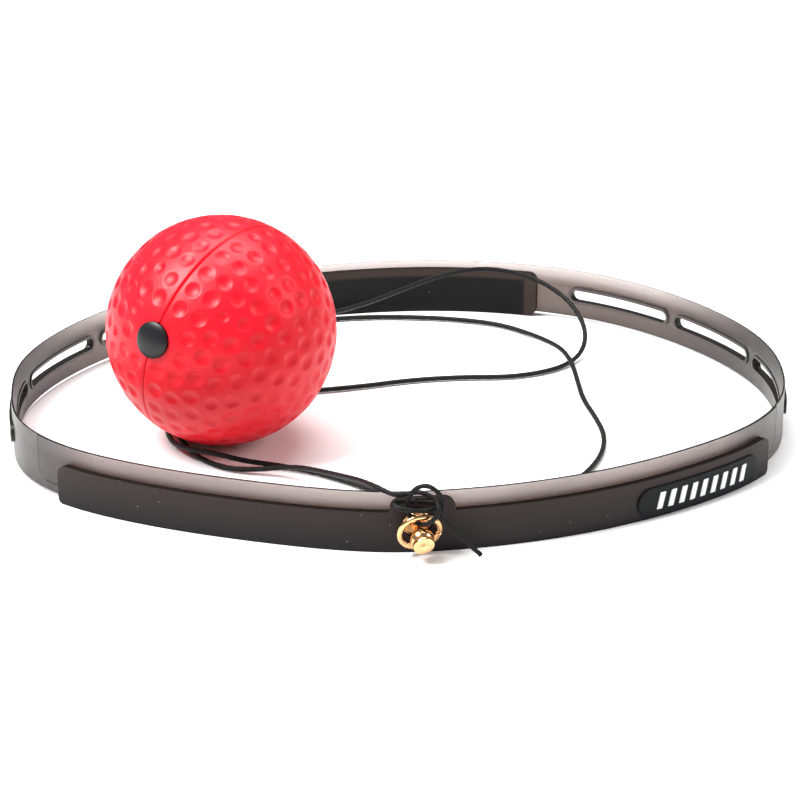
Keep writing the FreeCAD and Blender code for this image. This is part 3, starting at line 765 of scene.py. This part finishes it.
def thick_elastomer(name, low, high, plate=None):
    """The same smoky TPE where it is thick: nearly opaque brown-black, satin, with dust, and with
    painted shade on the faces that look up.

    The rear pad is darker where the black plate lies behind it.
    """
    material, tree, shader = new_material(name, {
        "Roughness": 0.5, "IOR": 1.49, "Specular IOR Level": 0.17,
    })
    where = add(tree, "ShaderNodeTexCoord").outputs["Object"]
    apart = add(tree, "ShaderNodeSeparateXYZ", links={0: where})
    height = apart.outputs["Z"]
    _, body = blended_colours(tree, share(tree, height, 0.0, 0.011), low, high)
    if plate:
        aside = math_node(tree, "ABSOLUTE", links={0: apart.outputs["X"]})
        within = share(tree, aside, 0.0431, 0.0421)
        below = share(tree, height, 0.0119, 0.0109)
        behind = math_node(tree, "MULTIPLY", links={0: within, 1: below})
        body = mixed(tree, body, plate, behind)
    # painted shade: a face that looks up is painted with the dark depth of the block, not its milky
    # skin
    facing = add(tree, "ShaderNodeNewGeometry").outputs["Normal"]
    upward = add(tree, "ShaderNodeSeparateXYZ", links={0: facing}).outputs["Z"]
    upward_shade = mixed(tree, body, "17110F", share(tree, upward, 0.4, 0.9))
    # dust specks of about 0.2 mm, a few to the square centimetre
    tint = mixed(tree, upward_shade, "8C837D", specks(tree, where, 260.0))
    tree.links.new(tint, shader.inputs["Base Color"])
    bump = bumped(tree, noise(tree, where, 2600.0, 2.0), 0.2, 0.00004)
    tree.links.new(bump, shader.inputs["Normal"])
    return material


def grained(name, colour, roughness, grain_mm, strength, specular=0.3):
    """A plain moulded material with a fine grain of a given size."""
    material, tree, shader = new_material(name, {
        "Base Color": linear(colour), "Roughness": roughness, "Specular IOR Level": specular,
    })
    where = add(tree, "ShaderNodeTexCoord").outputs["Object"]
    grain = noise(tree, where, 1.0 / (grain_mm * MM), 3.0)
    tree.links.new(bumped(tree, grain, strength, 0.00005), shader.inputs["Normal"])
    rough = add(tree, "ShaderNodeMapRange", {"To Min": roughness - 0.06, "To Max": roughness + 0.08},
                {0: grain})
    tree.links.new(rough.outputs[0], shader.inputs["Roughness"])
    return material


def red_foam_skin():
    """Moulded polyurethane foam with its own skin: saturated red, satin, faintly orange-peeled."""
    material, tree, shader = new_material("red_pu_foam_skin", {
        "Roughness": 0.40, "IOR": 1.46, "Specular IOR Level": 0.35,
    })
    where = add(tree, "ShaderNodeTexCoord").outputs["Object"]
    peel = noise(tree, where, 900.0, 3.0)
    ramp, colour = blended_colours(tree, noise(tree, where, 45.0, 2.0), "D4081E", "DC0E24")
    ramp.color_ramp.elements[0].position = 0.3
    ramp.color_ramp.elements[1].position = 0.7
    tree.links.new(colour, shader.inputs["Base Color"])
    tree.links.new(bumped(tree, peel, 0.12, 0.00008), shader.inputs["Normal"])
    rough = add(tree, "ShaderNodeMapRange", {"To Min": 0.34, "To Max": 0.48}, {0: peel})
    tree.links.new(rough.outputs[0], shader.inputs["Roughness"])
    return material


def polished_brass():
    """Turned and polished brass: pale gold, bright, with very fine turning marks."""
    material, tree, shader = new_material("polished_brass", {
        "Base Color": linear("E8B985"), "Metallic": 1.0,
    })
    where = add(tree, "ShaderNodeTexCoord").outputs["Object"]
    marks = noise(tree, where, 1800.0, 2.0)
    rough = add(tree, "ShaderNodeMapRange", {"To Min": 0.10, "To Max": 0.24}, {0: marks})
    tree.links.new(rough.outputs[0], shader.inputs["Roughness"])
    return material


def braided_sleeve():
    """Black polyester braid over elastic: matt crossing strands with a soft sheen on top."""
    material, tree, shader = new_material("black_polyester_braid", {
        "Roughness": 0.6, "Specular IOR Level": 0.22, "Sheen Weight": 0.02,
        "Sheen Roughness": 0.4,
    })
    where = add(tree, "ShaderNodeTexCoord").outputs["Object"]
    fibre = noise(tree, where, 5200.0, 2.0)
    _, colour = blended_colours(tree, fibre, "030303", "0E0D0D")
    tree.links.new(colour, shader.inputs["Base Color"])
    tree.links.new(bumped(tree, fibre, 0.4, 0.00005), shader.inputs["Normal"])
    return material


smoky = smoky_elastomer()
front_thick = thick_elastomer("smoky_tpe_front_pad", "1C1A1D", "2E2523")
rear_thick = thick_elastomer("smoky_tpe_rear_pad", "352C28", "352C28", "0A0A0B")
badge_pvc = grained("black_pvc_badge", "0A0B0D", 0.5, 0.25, 0.2, 0.15)
white_pvc = grained("white_pvc_bars", "E0E0E4", 0.45, 0.3, 0.1)
black_plastic = grained("black_nylon_moulded", "0D0D10", 0.36, 0.3, 0.25, 0.4)
red_skin = red_foam_skin()
brass = polished_brass()
braid = braided_sleeve()

FINISHES = {
    smoky: ["headband_loop"],
    front_thick: ["front_pad"],
    rear_thick: ["rear_pad"],
    badge_pvc: ["front_badge", "rear_plate"],
    white_pvc: ["badge_bars"],
    black_plastic: ["ball_cap_dome", "ball_exit_eyelet", "bore_sleeve", "stop_washer"],
    red_skin: ["ball_dimpled_skin"],
    brass: ["stud_head_turned", "stud_flange_turned", "tether_ring_wire", "stud_screw",
            "stud_washer"],
    braid: ["cord_lead_braid", "cord_tether_braid", "cord_bight_braid", "cord_tail_braid",
            "cord_wrap_braid", "inner_cord", "stop_knot"],
}
for material, pieces in FINISHES.items():
    for piece_name in pieces:
        slots = bpy.data.objects[piece_name].data.materials
        slots.clear()
        slots.append(material)


# Floor and light

FLOOR_HALF = 6              # metres


def add_floor():
    mesh = bpy.data.meshes.new("floor")
    corners = [(FLOOR_HALF * x, FLOOR_HALF * y, 0) for x, y in ((-1, -1), (1, -1), (1, 1), (-1, 1))]
    mesh.from_pydata(corners, [], [(0, 1, 2, 3)])
    floor = bpy.data.objects.new("floor", mesh)
    scene.collection.objects.link(floor)
    material, _, _ = new_material("pale_floor", {
        "Base Color": linear("F5F5F5"), "Roughness": 0.9, "Specular IOR Level": 0.1,
    })
    mesh.materials.append(material)


def add_softbox(name, place, size, watts, target=(0.0, 0.0, 0.02)):
    data = bpy.data.lights.new(name, "AREA")
    data.shape = "RECTANGLE"
    data.size, data.size_y = size
    data.energy = watts
    light = bpy.data.objects.new(name, data)
    scene.collection.objects.link(light)
    light.location = place
    look = Vector(target) - Vector(place)
    light.rotation_euler = look.to_track_quat("-Z", "Y").to_euler()


add_floor()
add_softbox("softbox_left", (-0.65, -0.15, 0.95), (0.50, 0.50), 24.0)
add_softbox("softbox_top", (0.10, 0.35, 1.1), (0.9, 0.6), 14.0)
add_softbox("softbox_right", (0.9, -0.1, 0.55), (0.4, 0.5), 4.0)
world = bpy.data.worlds.new("pale_room")
world.use_nodes = True
world.node_tree.nodes["Background"].inputs["Color"].default_value = (1.0, 1.0, 1.0, 1.0)
world.node_tree.nodes["Background"].inputs["Strength"].default_value = 0.25
scene.world = world
scene.view_settings.view_transform = "Standard"
